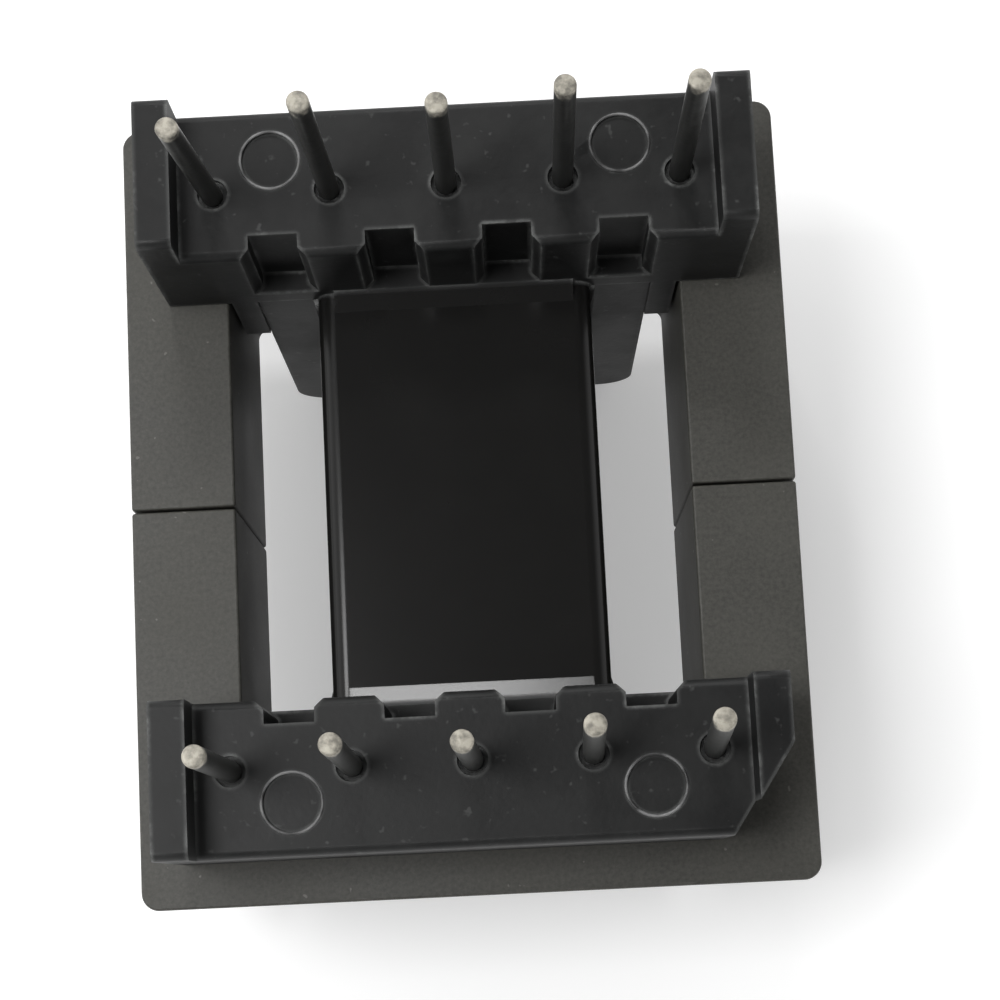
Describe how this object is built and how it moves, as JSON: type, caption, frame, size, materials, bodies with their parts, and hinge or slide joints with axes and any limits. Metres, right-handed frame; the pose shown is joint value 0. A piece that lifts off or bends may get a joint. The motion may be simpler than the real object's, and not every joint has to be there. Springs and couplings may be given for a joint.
{
  "type": "ferrite e core",
  "caption": "Pair of E-shaped ferrite cores closed round a square coil former with two flanges and two rails of straight solder pins.",
  "frame": {"origin": "centre of the part's bounding box, on the surface that the flanges' rear edges rest on", "axes": "+X along the rows of pins, +Y along the winding tube towards the rear row, +Z the way the pins point"},
  "size_m": [0.03, 0.0358, 0.0325],
  "materials": {
    "ferrite": "dull sintered ferrite, dark warm grey",
    "phenolic": "black moulded phenolic, satin, with paler worn edges",
    "tinned_wire": "dull bright tin over round wire"
  },
  "bodies": {
    "root": {"core_half_front": "ferrite", "core_half_rear": "ferrite", "bobbin": "phenolic", "pin_1": "tinned_wire", "pin_2": "tinned_wire", "pin_3": "tinned_wire", "pin_4": "tinned_wire", "pin_5": "tinned_wire", "pin_6": "tinned_wire", "pin_7": "tinned_wire", "pin_8": "tinned_wire", "pin_9": "tinned_wire", "pin_10": "tinned_wire"}
  },
  "joints": []
}
